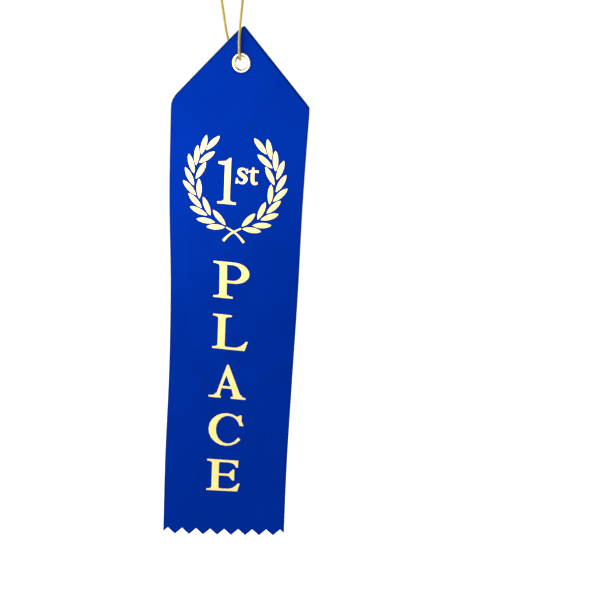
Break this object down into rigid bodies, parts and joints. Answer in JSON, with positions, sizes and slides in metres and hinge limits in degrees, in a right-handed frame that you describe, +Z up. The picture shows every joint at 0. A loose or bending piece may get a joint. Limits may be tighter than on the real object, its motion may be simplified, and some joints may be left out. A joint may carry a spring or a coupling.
{
  "type": "award ribbon",
  "caption": "Satin award ribbon with a folded pointed head, brass eyelet, gold cord loop and foil wreath print, hanging by its cord and swinging at the eyelet.",
  "frame": {"origin": "the hang point: the crotch of the cord loop, just under its knot", "axes": "+Z up along the hanging ribbon; -Y the way the printed face looks; +X to the right for someone who looks at the printed face"},
  "size_m": [0.0508, 0.0054, 0.2698],
  "materials": {
    "satin": "royal blue single-faced satin",
    "eyelet_brass": "polished pale brass",
    "gold_cord": "twisted metallic gold string",
    "gold_foil": "hot-stamped gold foil"
  },
  "bodies": {
    "cord": {"cord_front_strand": "gold_cord", "cord_bight": "gold_cord", "cord_back_strand": "gold_cord", "cord_tail_left": "gold_cord", "cord_tail_right": "gold_cord", "cord_knot": "gold_cord"},
    "head": {"ribbon_head": "satin", "eyelet": "eyelet_brass"},
    "tail": {"ribbon_tail": "satin", "foil_numeral_1": "gold_foil", "foil_letter_s": "gold_foil", "foil_letter_t": "gold_foil", "foil_letter_P": "gold_foil", "foil_letter_L": "gold_foil", "foil_letter_A": "gold_foil", "foil_letter_C": "gold_foil", "foil_letter_E": "gold_foil", "foil_wreath_stems": "gold_foil", "foil_leaf_left_outer_1": "gold_foil", "foil_leaf_left_outer_2": "gold_foil", "foil_leaf_left_outer_3": "gold_foil", "foil_leaf_left_outer_4": "gold_foil", "foil_leaf_left_outer_5": "gold_foil", "foil_leaf_left_outer_6": "gold_foil", "foil_leaf_left_outer_7": "gold_foil", "foil_leaf_left_outer_8": "gold_foil", "foil_leaf_left_outer_9": "gold_foil", "foil_leaf_left_inner_1": "gold_foil", "foil_leaf_left_inner_2": "gold_foil", "foil_leaf_left_inner_3": "gold_foil", "foil_leaf_left_inner_4": "gold_foil", "foil_leaf_left_inner_5": "gold_foil", "foil_leaf_left_tip": "gold_foil", "foil_leaf_right_outer_1": "gold_foil", "foil_leaf_right_outer_2": "gold_foil", "foil_leaf_right_outer_3": "gold_foil", "foil_leaf_right_outer_4": "gold_foil", "foil_leaf_right_outer_5": "gold_foil", "foil_leaf_right_outer_6": "gold_foil", "foil_leaf_right_outer_7": "gold_foil", "foil_leaf_right_outer_8": "gold_foil", "foil_leaf_right_outer_9": "gold_foil", "foil_leaf_right_inner_1": "gold_foil", "foil_leaf_right_inner_2": "gold_foil", "foil_leaf_right_inner_3": "gold_foil", "foil_leaf_right_inner_4": "gold_foil", "foil_leaf_right_inner_5": "gold_foil", "foil_leaf_right_tip": "gold_foil"}
  },
  "joints": [
    {"name": "ribbon_swing", "type": "hinge", "parent": "cord", "child": "head", "pos_m": [-0.0006, 0, -0.0665], "axis": [0, 1, 0], "range_deg": [-90, 90]},
    {"name": "tail_bend", "type": "hinge", "parent": "head", "child": "tail", "pos_m": [0, 0, -0.0854], "axis": [1, 0, 0], "range_deg": [-40, 40]}
  ]
}
